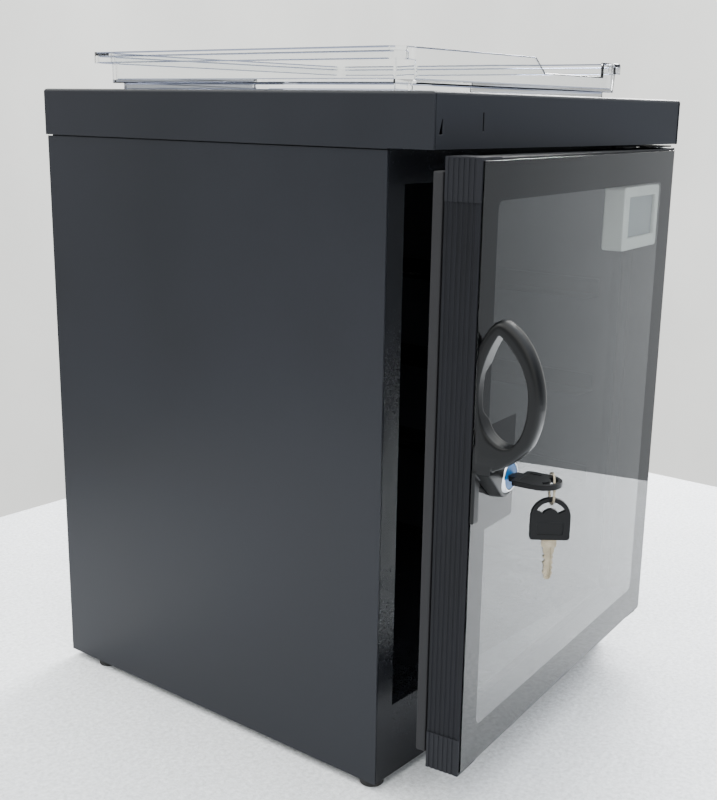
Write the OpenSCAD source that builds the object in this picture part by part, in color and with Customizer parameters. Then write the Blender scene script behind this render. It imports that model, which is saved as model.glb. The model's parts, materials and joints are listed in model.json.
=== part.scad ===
// Small electronic dry cabinet: a steel box with a hinged glass door, a key lock,
// a built-in dehumidifier and a clear slide-in tray that is stored on its top.
// Millimetres. +Z is up and -Y is the front. The origin is on the floor plane, in the
// middle of the cabinet's footprint. The door is drawn where it stands, slightly ajar.

/* [Cabinet] */
// Width of the hood, side to side
cab_w = 320; // [312:1:340]
// Depth of the hood, front to back
cab_d = 356; // [350:1:380]
// Height from the floor to the top of the hood
cab_h = 456; // [450:1:480]
// Height of the hood that caps the body
hood_h = 33.7; // [32:0.1:36]
// Clear height under the floor pan
foot_h = 6; // [4:0.5:10]
// Thickness of the steel sheet
sheet = 1.2; // [1:0.1:1.5]
// How far the body stands in from the hood
body_in = 1; // [0.5:0.5:2]
// How far the body's front stands behind the hood's front
face_back = 33.6; // [33.6:0.1:36]
// Width of the front flange beside the opening
flange = 18.6; // [18:0.1:20]
// Underside of the door opening
open_z0 = 58.3; // [58:0.1:62]
// Top of the door opening
open_z1 = 402.3; // [398:0.1:403]

/* [Door] */
// How far the door stands open, in degrees
ajar_deg = 6.3; // [0:0.1:12]
// Bottom of the door frame
door_z0 = 39.2; // [39:0.1:41]
// Top of the door frame
door_z1 = 420.1; // [418:0.1:420.1]
// Depth of the door, glass front to frame back
door_t = 24.1; // [23:0.1:24.5]
// Thickness of the glass
glass_t = 4; // [3:0.5:4]
// Width of a frame bar, seen from the front
bar_w = 18.5; // [17:0.5:18.5]
// Width of the black print round the glass
print_w = 22; // [21:0.5:26]
// Hinge axis, in from the door's right edge
hinge_in = 12.8; // [12:0.1:14]
// Hinge axis, behind the glass front
hinge_back = 8; // [7.8:0.1:9]

/* [Lock and handle] */
// Lock centre, in from the cabinet's left side
lock_in = 31; // [30:0.5:34]
// Height of the lock centre
lock_z = 231; // [228:0.1:236]
// Radius of the lock's threaded barrel
barrel_r = 8.7; // [8:0.1:8.7]
// Radius of the lock's plug
plug_r = 5.95; // [5.5:0.05:5.95]
// Running clearance round the plug and the hinge pins
run_gap = 0.05; // [0.02:0.01:0.08]
// Width of the handle's grip, along the door
grip_w = 13; // [11:0.5:14]
// Width of a key's bow
bow_w = 24.6; // [24:0.1:27]
// Radius of the key ring, to the middle of its wire
ring_r = 9.6; // [9:0.1:10]

/* [Tray] */
// Width and depth of the tray's rim
tray_w = 277; // [260:1:278]
// Height of the tray
tray_h = 25; // [20:1:30]
// Overhang of the rim beside the tray's walls
tray_rim = 8; // [6:1:9]
// Wall of the clear plastic
tray_t = 2.4; // [2:0.1:3]

/* [Hidden] */
$fn = 64;

eps = 0.01;
x0 = -cab_w / 2;
x1 = cab_w / 2;
y0 = -cab_d / 2;
y1 = cab_d / 2;
face_y = y0 + face_back;
body_x0 = x0 + body_in;
body_x1 = x1 - body_in;
body_y1 = y1 - body_in;
hood_z0 = cab_h - hood_h;
deck_z1 = hood_z0;
seam = 0.5;
return_d = 7;
open_x0 = body_x0 + flange - body_in;
open_x1 = -open_x0;
lip_d = 6;
lip_t = 1;

// Door, in the frame of the closed door
door_x0 = x0 - 1.5;
door_x1 = x1 + 0.5;
glass_in = 1.4;
glass_proud = 1;
hinge_x = door_x1 - hinge_in;
hinge_y = y0 + hinge_back;
block_leg = 25;
block_proud = 0.6;
block_z0 = door_z0 - block_proud;
block_z1 = door_z1 + block_proud;
rib_pitch = 3.3;
rib_depth = 0.45;
rib_gap = 1.5;
bar_wall = 1.8;
print_t = 0.3;
gasket_in = 8;
gasket_free = 6.5; // how much further out the seal sits on the lock's side
gasket_w = 8.3;
gasket_y = y0 + 33;
pin_r = 2;
bush_r = 3.2;
bush_l = 12;
low_hole_z = 25;

// Lock
lock_x = x0 + lock_in;
hub_h = 8.2;
hub_r = 14.5;
ring_face = 10.6;
barrel_back = 34.8;
cam_y = 36.4;
cam_t = 2;
slot_w = 7.2;
slot_h = 2.4;
key_gap = 0.15;

// Dehumidifier module
mod_w = 92;
mod_z0 = 283;
mod_z1 = 403;
mod_y0 = body_y1 - sheet - 56;
mod_wall = 2;
stack_z = 361;
stack_w = 60;
fan_d = 15;
fan_y = body_y1 - sheet - 0.5;
fan_r = 27.5;
rotor_r = 26.5;
hot_d = 17;
tile_w = 40;
tile_d = 3.8;
jack_x = -24;
jack_z = 300;
jack_r = 5.6;

// Tray
tray_x = x0 + 4 + tray_w / 2;
tray_y = y0 + 29 + tray_w / 2;
tray_z = cab_h;
rim_d = 7.5;
base_d = 4.2;

// Cubic Bezier curve through n + 1 points
function bez(a, b, c, d, n = 12) = [for (i = [0 : n]) let (t = i / n, s = 1 - t)
    s * s * s * a + 3 * s * s * t * b + 3 * s * t * t * c + t * t * t * d];

// A box from its lowest and highest corners
module box(a, b) {
    translate(a) cube(b - a);
}

// A rectangle with round corners, centred
module rrect(w, d, r) {
    square([w - 2 * r, d], center = true);
    square([w, d - 2 * r], center = true);
    for (x = [-1, 1], y = [-1, 1]) translate([x * (w / 2 - r), y * (d / 2 - r)]) circle(r);
}

// Extrudes a profile drawn in (y, z) along x from a to b
module along_x(a, b) {
    translate([a, 0, 0]) rotate([90, 0, 90]) linear_extrude(b - a) children();
}

// Extrudes a profile drawn in (x, z) along y from a to b
module along_y(a, b) {
    translate([0, b, 0]) rotate([90, 0, 0]) linear_extrude(b - a) children();
}

// A cylinder along y from a to b
module rod_y(r, a, b, fn = 64) {
    translate([0, b, 0]) rotate([90, 0, 0]) cylinder(r = r, h = b - a, $fn = fn);
}

// Puts children at (x, z)
module at_xz(x, z) {
    translate([x, 0, z]) children();
}

// Turns the closed door's frame to where the door stands
module ajar() {
    translate([hinge_x, hinge_y, 0]) rotate([0, 0, ajar_deg]) translate([-hinge_x, -hinge_y, 0]) children();
}

// A pan head screw whose head rests on z = 0 and whose shank points down
module screw(r, len, head_r, head_h) {
    cylinder(r = head_r, h = head_h);
    translate([0, 0, -len]) cylinder(r = r, h = len + eps);
}

// ---------------------------------------------------------------- cabinet

// Places of the back panel's screws, as (x, z)
back_spots = [for (x = [-150, 0, 150], z = [16, 412]) [x, z], for (x = [-150, 150], z = [148, 280]) [x, z]];

// Left side, right side and top deck, bent from one sheet
module side_wrap() {
    color("#45484d") difference() {
        union() {
            for (s = [0, 1]) mirror([s, 0, 0]) {
                box([body_x0, face_y, foot_h], [body_x0 + sheet, body_y1 - sheet, deck_z1]);
                box([body_x0, body_y1 - 2 * sheet, foot_h], [body_x0 + 14, body_y1 - sheet, deck_z1]);
            }
            box([body_x0, face_y + return_d, deck_z1 - sheet], [body_x1, body_y1 - sheet, deck_z1]);
            box([body_x0, body_y1 - 2 * sheet, deck_z1 - 16], [body_x1, body_y1 - sheet, deck_z1]);
        }
        for (p = back_spots) at_xz(p[0], p[1]) rod_y(1.7, body_y1 - 10, body_y1 + 10);
    }
}

// Front of the body, between the side sheets: the opening, its turned-in lip and the cam's slot
module face_frame() {
    fx = -body_x0 - sheet - seam;
    color("#2c2d31") difference() {
        union() {
            box([-fx, face_y, foot_h], [fx, face_y + sheet, deck_z1]);
            for (s = [0, 1]) mirror([s, 0, 0])
                box([-fx, face_y + sheet - eps, foot_h + 13], [-fx + sheet, face_y + return_d, deck_z1 - sheet]);
            box([open_x0 - lip_t, face_y + sheet - eps, open_z0 - lip_t],
                [open_x1 + lip_t, face_y + sheet + lip_d, open_z1 + lip_t]);
            box([-fx, face_y + sheet - eps, deck_z1 - sheet], [fx, face_y + return_d, deck_z1]);
        }
        box([open_x0, face_y - 1, open_z0], [open_x1, face_y + 20, open_z1]);
        box([open_x0 - 5, face_y + sheet + eps, lock_z - 9], [open_x0 + 1, face_y + 20, lock_z + 28]);
        for (x = [-14, 4]) translate([hinge_x + x, 0, door_z1 - 2.6]) rod_y(1.6, face_y - 1, face_y + 3);
        for (x = [-14, 4]) translate([hinge_x + x, 0, low_hole_z]) rod_y(1.6, face_y - 1, face_y + 3);
    }
}

// Rear sheet with the fan's slots, the socket's hole and the screw holes
module back_panel() {
    color("#45484d") difference() {
        box([body_x0, body_y1 - sheet, foot_h], [body_x1, body_y1, deck_z1]);
        for (p = back_spots) at_xz(p[0], p[1]) rod_y(1.7, body_y1 - 10, body_y1 + 10);
        at_xz(0, stack_z) intersection() {
            rod_y(26, body_y1 - 5, body_y1 + 5);
            for (i = [-4 : 4]) box([-30, body_y1 - 5, 5.6 * i - 1.6], [30, body_y1 + 5, 5.6 * i + 1.6]);
        }
        for (x = [-25, 25], z = [-25, 25]) at_xz(x, stack_z + z) rod_y(1.7, body_y1 - 5, body_y1 + 5);
        at_xz(jack_x, jack_z) rod_y(jack_r + 0.05, body_y1 - 5, body_y1 + 5);
    }
}

// Bottom sheet with turned-up edges and the feet's holes
module floor_pan() {
    pan_x = -body_x0 - sheet - 0.1;
    pan_y0 = face_y + sheet + 0.1;
    pan_y1 = body_y1 - 2 * sheet - 0.1;
    color("#45484d") difference() {
        box([-pan_x, pan_y0, foot_h], [pan_x, pan_y1, foot_h + 12]);
        box([-pan_x + sheet, pan_y0 + sheet, foot_h + sheet], [pan_x - sheet, pan_y1 - sheet, foot_h + 13]);
        for (x = [-1, 1], y = [foot_y0, foot_y1]) translate([x * foot_x, y, 0]) cylinder(r = 2.1, h = 20);
        for (p = back_spots) at_xz(p[0], p[1]) rod_y(1.7, body_y1 - 10, body_y1);
    }
}
foot_x = -body_x0 - 10.6;
foot_y0 = face_y + 10.6;
foot_y1 = body_y1 - 34;
foot_r = 9;

// Floor of the storage space, with turned-down edges
module inner_floor() {
    fx = -body_x0 - sheet - 0.1;
    fy0 = face_y + sheet + lip_d + 0.2;
    fy1 = body_y1 - 2 * sheet - 0.1;
    color("#16171a") difference() {
        box([-fx, fy0, open_z0 - 14], [fx, fy1, open_z0 - 1.2]);
        box([-fx + lip_t, fy0 + lip_t, open_z0 - 15], [fx - lip_t, fy1 - lip_t, open_z0 - 1.2 - lip_t]);
    }
}

// Top cap: top sheet, two sides and a back, with edges turned in at the rim
module hood_cap() {
    r = 2.2;
    color("#3f4247") difference() {
        intersection() {
            box([x0, y0, hood_z0], [x1, y1, cab_h]);
            along_y(y0, y1) translate([0, cab_h - 50]) rrect(cab_w, 100, r);
            along_x(x0, x1) translate([0, cab_h - 50]) rrect(cab_d, 100, r);
        }
        box([x0 + sheet, y0 - 1, hood_z0 + sheet], [x1 - sheet, y1 - sheet, cab_h - sheet]);
        box([x0 + 16, y0 - 1, hood_z0 - 1], [x1 - 16, y1 - 16, cab_h - sheet]);
        box([x0 - 1, y0 - 1, hood_z0 - 1], [x1 + 1, face_y, hood_z0 + sheet]);
        box([x0 + sheet, y0 - 1, hood_z0 - 1], [x1 - sheet, face_y + 0.1, cab_h - sheet]);
        difference() {
            box([x0 - 1, face_y - 1, hood_z0 - 1], [x1 + 1, y1 + 1, hood_z0 + 0.8]);
            box([x0 + 3.5, face_y - 2, hood_z0 - 2], [x1 - 3.5, y1 - 3.5, hood_z0 + 2]);
        }
    }
}

// Front panel of the hood, with its underside turned back over the door
module hood_front() {
    w = -x0 - sheet - 0.9;
    z = hood_z0 + 1.3;
    color("#3a3c41") difference() {
        union() {
            box([-w, y0 + 0.15, z], [w, y0 + 0.15 + sheet, cab_h - sheet - 0.1]);
            box([-w, y0 + 0.15, z], [w, face_y - 0.2, z + sheet]);
            box([-w, y0 + 0.15, cab_h - sheet - 0.1 - sheet], [w, y0 + 12, cab_h - sheet - 0.1]);
        }
        box([x0 + 50, y0 - 1, cab_h - 22.5], [x0 + 51.3, y0 + 5, cab_h - 11.5]);
        along_y(y0 - 1, y0 + 5)
            polygon([[x0 + 5.6, cab_h - 24], [x0 + 9, cab_h - 24], [x0 + 9.2, cab_h - 15.5], [x0 + 8.3, cab_h - 15.5]]);
    }
}

// Four round rubber feet
module feet() {
    color("#121214") for (x = [-1, 1], y = [foot_y0, foot_y1]) translate([x * foot_x, y, 0]) difference() {
        cylinder(r1 = foot_r - 1, r2 = foot_r, h = foot_h);
        translate([0, 0, -1]) cylinder(r = 4.6, h = 3.6);
        cylinder(r = 2.1, h = foot_h + 1);
    }
}

// Screws that hold the feet, head down in each foot's recess
module foot_screws() {
    color("#8d9096") for (x = [-1, 1], y = [foot_y0, foot_y1]) translate([x * foot_x, y, 2.6])
        mirror([0, 0, 1]) screw(2, foot_h + 3, 3.8, 1.8);
}

// Screws of the back panel
module back_screws() {
    color("#2b2c30") for (p = back_spots) translate([p[0], body_y1, p[1]]) rotate([-90, 0, 0])
        screw(1.6, 7, 3.2, 1.7);
}

// Ledge that carries the door's top pin, screwed to the face frame
module hinge_bracket_top() {
    bracket(block_z1 + 0.7, block_z1 + 1.9, door_z1 - 6.8, block_z1 + 1.9, door_z1 - 2.6);
}

// Ledge that carries the door's weight
module hinge_bracket_bottom() {
    bracket(block_z0 - 2.4, block_z0 - 0.8, foot_h + 4, block_z0 - 0.8, low_hole_z);
}

// A folded ledge: plate from plate_z0 to plate_z1 and a leg on the face frame
module bracket(plate_z0, plate_z1, leg_z0, leg_z1, hole_z) {
    bx0 = hinge_x - 26;
    bx1 = hinge_x + 9;
    color("#1d1e21") difference() {
        union() {
            box([bx0, hinge_y - 5, plate_z0], [bx1, face_y, plate_z1]);
            box([bx0, face_y - 1.5, leg_z0], [bx1, face_y, leg_z1]);
        }
        translate([hinge_x, hinge_y, plate_z0 - 1]) cylinder(r = pin_r + 0.01, h = 6);
        for (x = [-14, 4]) translate([hinge_x + x, 0, hole_z]) rod_y(1.6, face_y - 3, face_y + 3);
        translate([bx0, hinge_y - 5, plate_z0 - 1]) difference() {
            translate([-1, -1, 0]) cube([9, 9, 6]);
            translate([8, 8, -1]) cylinder(r = 8, h = 8);
        }
    }
}

// The two pins that the door turns on
module hinge_pins() {
    color("#a9abb0") for (t = [0, 1]) {
        z = t == 1 ? block_z1 - bush_l + 1 : block_z0 - 2.4;
        h = t == 1 ? bush_l - 1 + 1.9 : bush_l - 1 + 2.4;
        translate([hinge_x, hinge_y, z]) cylinder(r = pin_r, h = h);
    }
}

// Screws of the two hinge brackets
module hinge_screws() {
    color("#2b2c30") for (z = [door_z1 - 2.6, low_hole_z], x = [-14, 4])
        translate([hinge_x + x, face_y - 1.5, z]) rotate([90, 0, 0]) screw(1.5, 6, 2.7, 1.6);
}

// Nylon washer under the door
module thrust_washer() {
    color("#d9d9d4") translate([hinge_x, hinge_y, block_z0 - 0.8]) difference() {
        cylinder(r = 4.2, h = 0.5);
        translate([0, 0, -1]) cylinder(r = pin_r + run_gap, h = 3);
    }
}

// Steel keeper behind the left flange, which the cam turns behind
module strike_plate() {
    color("#8d9096") difference() {
        box([open_x0 - 13.4, face_y + sheet, lock_z - 18], [open_x0 - lip_t - 0.1, face_y + sheet + 1, lock_z + 32]);
        for (z = [-14, 28]) at_xz(open_x0 - 8, lock_z + z) rod_y(1.7, face_y, face_y + 10);
    }
}

// Three pairs of angle rails that the tray's rim slides on
rail_levels = [140, 220, 300];
rail_y0 = face_y + 26;
rail_y1 = body_y1 - 64;
rail_in = tray_w / 2 - tray_rim + 2;
module shelf_rails() {
    color("#1a1b1e") for (s = [0, 1], z = rail_levels) mirror([s, 0, 0]) {
        box([body_x0 + sheet, rail_y0, z], [-rail_in, rail_y1, z + sheet]);
        box([body_x0 + sheet, rail_y0, z], [body_x0 + 2 * sheet, rail_y1, z + 14]);
    }
}

// ---------------------------------------------------------------- dehumidifier

// Places of the screws that hold the module's grille, as (x, z)
mod_spots = [for (x = [-1, 1], z = [mod_z0 + 5, mod_z1 - 5]) [x * (mod_w / 2 - 5), z]];

// Housing on the back panel, with a wall between the cold and the hot side
module module_housing() {
    wall_y = fan_y - fan_d - hot_d;
    color("#1b1c1f") difference() {
        box([-mod_w / 2, mod_y0 + mod_wall, mod_z0], [mod_w / 2, body_y1 - sheet, mod_z1]);
        box([-mod_w / 2 + mod_wall, mod_y0, mod_z0 + mod_wall], [mod_w / 2 - mod_wall, wall_y - tile_d, mod_z1 - mod_wall]);
        box([-mod_w / 2 + mod_wall, wall_y, mod_z0 + mod_wall], [mod_w / 2 - mod_wall, body_y1, mod_z1 - mod_wall]);
        box([-tile_w / 2 - 0.1, wall_y - 10, stack_z - tile_w / 2 - 0.1],
            [tile_w / 2 + 0.1, wall_y + 1, stack_z + tile_w / 2 + 0.1]);
    }
    color("#1b1c1f") for (p = mod_spots) at_xz(p[0], p[1]) difference() {
        rod_y(2.9, mod_y0 + mod_wall, wall_y - tile_d + 0.5);
        rod_y(1.3, mod_y0, mod_y0 + 10);
    }
}

// Slotted cover of the housing, towards the storage space
module module_grille() {
    color("#212226") difference() {
        box([-mod_w / 2, mod_y0, mod_z0], [mod_w / 2, mod_y0 + mod_wall, mod_z1]);
        for (i = [-5 : 5]) box([-30, mod_y0 - 1, stack_z + 5.2 * i - 1.4], [30, mod_y0 + 5, stack_z + 5.2 * i + 1.4]);
        at_xz(26, mod_z0 + 18) rod_y(4.1, mod_y0 - 1, mod_y0 + 5);
        for (p = mod_spots) at_xz(p[0], p[1]) rod_y(1.6, mod_y0 - 1, mod_y0 + 5);
    }
}

// A finned heat sink: base plate at y from base_y and fins along z, dir is +1 or -1 along y
module fins(base_y, base_t, fin_l, dir) {
    s = stack_w / 2;
    a = dir > 0 ? base_y : base_y - base_t;
    box([-s, a, stack_z - s], [s, a + base_t, stack_z + s]);
    for (i = [0 : 9]) {
        x = -s + i * (stack_w - 1.5) / 9;
        f = dir > 0 ? base_y + base_t - eps : base_y - base_t - fin_l;
        box([x, f, stack_z - s], [x + 1.5, f + fin_l + eps, stack_z + s]);
    }
}

// Cold side: moisture condenses on it
module cold_sink() {
    color("#b4b7bb") fins(fan_y - fan_d - hot_d - tile_d - 0.05, 3, 9, -1);
}

// Hot side, cooled by the fan
module hot_sink() {
    color("#b4b7bb") fins(fan_y - fan_d - hot_d + 0.05, 3, hot_d - 3.2, 1);
}

// The thermoelectric tile between the two heat sinks
module peltier_tile() {
    y = fan_y - fan_d - hot_d;
    color("#e6e6e2") box([-tile_w / 2, y - tile_d, stack_z - tile_w / 2], [tile_w / 2, y, stack_z + tile_w / 2]);
}

// Frame of the axial fan with its motor bracket
module fan_frame() {
    a = fan_y - fan_d;
    color("#1a1a1c") at_xz(0, stack_z) {
        difference() {
            box([-stack_w / 2, a, -stack_w / 2], [stack_w / 2, fan_y, stack_w / 2]);
            rod_y(fan_r, a - 1, fan_y + 1);
            for (x = [-25, 25], z = [-25, 25]) translate([x, 0, z]) rod_y(1.8, a - 1, fan_y + 1);
        }
        difference() {
            union() {
                rod_y(11, fan_y - 2, fan_y);
                for (q = [45 : 90 : 315]) rotate([0, q, 0]) box([8, fan_y - 2, -1.2], [fan_r + 0.5, fan_y, 1.2]);
            }
            rod_y(2, fan_y - 5, fan_y + 5);
        }
    }
}

// Hub and blades of the fan
module fan_rotor() {
    a = fan_y - fan_d + 1.2;
    b = fan_y - 2.6;
    color("#232326") at_xz(0, stack_z) {
        rod_y(10.5, a, b);
        rod_y(2 - run_gap, b - eps, fan_y - 0.2);
        for (i = [0 : 6]) rotate([0, i * 360 / 7, 0]) translate([0, (a + b) / 2, 0]) rotate([0, 0, 38])
            translate([0, -0.6, 9.5]) linear_extrude(rotor_r - 9.5) square([13, 1.2], center = true);
    }
}

// Circuit board with its larger components
module control_board() {
    y = body_y1 - sheet - 12;
    color("#1f5a3a") box([-4, y - 1.6, mod_z0 + 4], [40, y, mod_z0 + 28]);
    color("#26272b") for (p = [[2, 8, 12, 8], [18, 8, 8, 8], [30, 8, 7, 16]])
        box([p[0], y, mod_z0 + p[1]], [p[0] + p[2], y + 3.5, mod_z0 + p[1] + p[3]]);
}

// Small humidity probe behind the grille's round hole
module humidity_sensor() {
    color("#e8e8e6") at_xz(26, mod_z0 + 18) difference() {
        rod_y(4, mod_y0 - 0.6, mod_y0 + 8);
        for (i = [-1 : 1]) box([-2.4, mod_y0 - 1, 1.6 * i - 0.4], [2.4, mod_y0 + 1, 1.6 * i + 0.4]);
    }
}

// Panel socket for the low voltage supply
module power_jack() {
    color("#17181a") at_xz(jack_x, jack_z) difference() {
        union() {
            rod_y(jack_r, body_y1 - 12, body_y1 + 2);
            rod_y(7, body_y1, body_y1 + 2);
            rod_y(7.6, body_y1 - sheet - 3, body_y1 - sheet, 6);
        }
        rod_y(2.9, body_y1 - 8, body_y1 + 3);
    }
    color("#c9a24a") at_xz(jack_x, jack_z) rod_y(1, body_y1 - 8.5, body_y1 + 1);
}

// Two-core lead from the socket to the board
module power_lead() {
    y = body_y1 - 16;
    color("#a32a22") for (dz = [-1.2, 1.2]) translate([jack_x, y, jack_z + dz]) {
        rotate([0, 90, 0]) cylinder(r = 0.9, h = 18.5, $fn = 24);
        rotate([-90, 0, 0]) cylinder(r = 0.9, h = 3.9, $fn = 24);
        sphere(r = 0.9, $fn = 24);
    }
}

// Screws of the grille and of the fan
module module_screws() {
    color("#2b2c30") {
        for (p = mod_spots) translate([p[0], mod_y0, p[1]]) rotate([90, 0, 0]) screw(1.25, 8, 2.6, 1.5);
        for (x = [-25, 25], z = [-25, 25]) translate([x, body_y1, stack_z + z]) rotate([-90, 0, 0])
            screw(1.6, 14, 3.2, 1.7);
    }
}

// ---------------------------------------------------------------- door

// Clear glass with the lock's hole
module glass_pane() {
    color([0.35, 0.38, 0.4, 0.35]) ajar() difference() {
        box([door_x0 + glass_in, y0, door_z0 + glass_in], [door_x1 - glass_in, y0 + glass_t, door_z1 - glass_in]);
        at_xz(lock_x, lock_z) rod_y(barrel_r + 0.3, y0 - 1, y0 + 10);
    }
}

// Black print on the back of the glass, with the patch that hides the lock
module border_print() {
    cx = (door_x0 + door_x1) / 2;
    cz = (door_z0 + door_z1) / 2;
    w = door_x1 - door_x0 - 2 * glass_in;
    h = door_z1 - door_z0 - 2 * glass_in;
    color("#141517") ajar() difference() {
        along_y(y0 + glass_t, y0 + glass_t + print_t) difference() {
            translate([cx, cz]) square([w, h], center = true);
            difference() {
                translate([cx, cz]) rrect(w - 2 * print_w, h - 2 * print_w - 2, 5);
                translate([door_x0, lock_z - 34]) square([60.5, 66]);
            }
        }
        at_xz(lock_x, lock_z) rod_y(barrel_r + 0.3, y0 - 1, y0 + 10);
    }
}

// Cross-section of a frame bar: u runs in from the outer edge, v from the glass front back
module bar_section(outer = 0) {
    difference() {
        translate([-outer, glass_proud]) square([bar_w + outer, door_t - glass_proud]);
        translate([glass_in - 0.1, -1]) square([bar_w, 1 + glass_t + print_t + 0.05]);
        for (i = [0 : 5]) translate([-outer - 1, 4.2 + rib_pitch * i]) square([1 + rib_depth, rib_gap]);
    }
}

// Hollow of a frame bar
module bar_hollow(gap = 0) {
    translate([bar_wall + gap + rib_depth, glass_t + print_t + bar_wall + gap])
        square([bar_w - 2 * bar_wall - rib_depth - 2 * gap, door_t - glass_t - print_t - 2 * bar_wall - 2 * gap]);
}

// A bar along z: u is along +x from the left edge
module upright(z0, z1) {
    translate([door_x0, y0, z0]) linear_extrude(z1 - z0) difference() {
        bar_section();
        bar_hollow();
    }
}

// A bar along x above z = 0: u is along +z from the bottom edge
module sill(a, b) {
    translate([a, y0, 0]) rotate([90, 0, 90]) linear_extrude(b - a) difference() {
        mirror([1, -1]) bar_section();
        mirror([1, -1]) bar_hollow();
    }
}

module frame_bar_left() {
    color("#25262a") ajar() upright(block_z0 + block_leg, block_z1 - block_leg);
}

module frame_bar_right() {
    color("#25262a") ajar() translate([door_x0 + door_x1, 0, 0]) mirror([1, 0, 0])
        upright(block_z0 + block_leg, block_z1 - block_leg);
}

module frame_bar_bottom() {
    color("#25262a") ajar() translate([0, 0, door_z0])
        sill(door_x0 - block_proud + block_leg, door_x1 + block_proud - block_leg);
}

module frame_bar_top() {
    color("#25262a") ajar() translate([0, 0, door_z1]) mirror([0, 0, 1])
        sill(door_x0 - block_proud + block_leg, door_x1 + block_proud - block_leg);
}

// A ribbed corner block, drawn for the bottom left corner, with plugs for both bars
module corner_block(hinge) {
    p = block_proud;
    difference() {
        union() {
            intersection() {
                translate([door_x0, y0, block_z0]) linear_extrude(block_leg) bar_section(p);
                box([door_x0 - 2 * p, y0, block_z0], [door_x0 + 40, y0 + door_t + p, block_z0 + block_leg]);
            }
            translate([door_x0 - p, y0, door_z0]) rotate([90, 0, 90]) linear_extrude(block_leg)
                mirror([1, -1]) bar_section(p);
            translate([door_x0, y0, block_z0 + block_leg - eps]) linear_extrude(10) bar_hollow(0.15);
            translate([door_x0 - p + block_leg - eps, y0, door_z0]) rotate([90, 0, 90]) linear_extrude(10)
                mirror([1, -1]) bar_hollow(0.15);
        }
        box([door_x0 + glass_in - 0.1, y0 - 1, door_z0 + glass_in - 0.1],
            [door_x0 + 60, y0 + glass_t + print_t + 0.05, door_z0 + 60]);
        for (i = [0 : 5]) {
            y = y0 + 4.2 + rib_pitch * i;
            box([door_x0 - p - 1, y, block_z0 + 1], [door_x0 - p + rib_depth, y + rib_gap, block_z0 + 60]);
        }
        if (hinge) translate([door_x0 + hinge_in, hinge_y, block_z0 - 1]) cylinder(r = bush_r, h = bush_l + 1);
    }
}

module corner_bottom_left() {
    color("#232428") ajar() corner_block(false);
}

module corner_bottom_right() {
    color("#232428") ajar() translate([door_x0 + door_x1, 0, 0]) mirror([1, 0, 0]) corner_block(true);
}

module corner_top_left() {
    color("#232428") ajar() translate([0, 0, door_z0 + door_z1]) mirror([0, 0, 1]) corner_block(false);
}

module corner_top_right() {
    color("#232428") ajar() translate([door_x0 + door_x1, 0, door_z0 + door_z1]) mirror([0, 0, 1])
        mirror([1, 0, 0]) corner_block(true);
}

// A square ring behind the door, inset by a, w wide, from y = ya to yb
module door_ring(a, w, ya, yb) {
    x = door_x0 + a - gasket_free;
    difference() {
        box([x, ya, door_z0 + a], [door_x1 - a, yb, door_z1 - a]);
        box([x + w, ya - 1, door_z0 + a + w], [door_x1 - a - w, yb + 1, door_z1 - a - w]);
    }
}

// Soft door seal: a narrow neck and a wide hollow bead
module door_gasket() {
    color("#0e0e10") ajar() difference() {
        union() {
            door_ring(gasket_in + 2.2, gasket_w - 4.4, y0 + door_t, y0 + 26.2);
            door_ring(gasket_in, gasket_w, y0 + 26.1, gasket_y);
        }
        door_ring(gasket_in + 1.4, gasket_w - 2.8, y0 + 29.4, gasket_y - 0.9);
    }
}

// Four magnet strips sealed in the gasket's bead
module gasket_magnets() {
    a = gasket_in + 1.5;
    w = gasket_w - 3;
    color("#3b3431") ajar() {
        for (x = [door_x0 + a - gasket_free, door_x1 - a - w])
            box([x, y0 + 29.5, door_z0 + a + 8], [x + w, gasket_y - 1, door_z1 - a - 8]);
        for (z = [door_z0 + a, door_z1 - a - w])
            box([door_x0 + a + 8, y0 + 29.5, z], [door_x1 - a - 8, gasket_y - 1, z + w]);
    }
}

// Nylon bushes in the two hinge-side corner blocks
module hinge_bushes() {
    color("#d9d9d4") ajar() for (z = [block_z0, block_z1 - bush_l]) translate([hinge_x, hinge_y, z]) difference() {
        cylinder(r = bush_r - 0.02, h = bush_l);
        translate([0, 0, -1]) cylinder(r = pin_r + run_gap, h = bush_l + 2);
    }
}

// Side outline of the handle's loop: u is the distance out from the glass
loop_out = concat(
    bez([0, 315], [3, 322], [8, 333], [16, 331.5]),
    bez([16, 331.5], [30, 327], [43, 303], [41.5, 282]),
    bez([41.5, 282], [40.8, 272], [39, 266], [36, 259.5]),
    [[25, 248], [9, 238], [0, 238]]);
loop_hole = concat(
    bez([13.5, 323.5], [24, 314], [33.5, 302], [33.5, 287]),
    bez([33.5, 287], [33.5, 275], [31, 266], [26, 260]),
    bez([26, 260], [22, 256], [17, 255.5], [12, 259]),
    bez([12, 259], [4, 264], [2.2, 274], [2.2, 286]),
    bez([2.2, 286], [2.2, 300], [6, 312], [13.5, 323.5]));

// Handle: a leaf-shaped loop on the door's left edge and a hub that holds the lock
module handle() {
    hx0 = door_x0 - 0.2;
    color("#1d1e21") ajar() difference() {
        union() {
            difference() {
                translate([0, y0, 0]) mirror([0, 1, 0]) along_x(hx0, hx0 + grip_w) difference() {
                    polygon(loop_out);
                    polygon(loop_hole);
                }
                box([hx0 + 7, y0 - 3, 270], [hx0 + 20, y0 + 1, 306]);
            }
            hull() {
                box([hx0, y0 - 12, 238], [hx0 + grip_w, y0, 256]);
                at_xz(lock_x, lock_z) rod_y(hub_r, y0 - hub_h, y0, 32);
            }
            box([hx0, y0 - 2.4, 207], [hx0 + 7, y0, 239]);
        }
        at_xz(lock_x, lock_z) rod_y(barrel_r + 0.1, y0 - 20, y0 + 1);
        at_xz(lock_x, lock_z) rod_y(11.2, y0 - 30, y0 - hub_h);
    }
}

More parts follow.
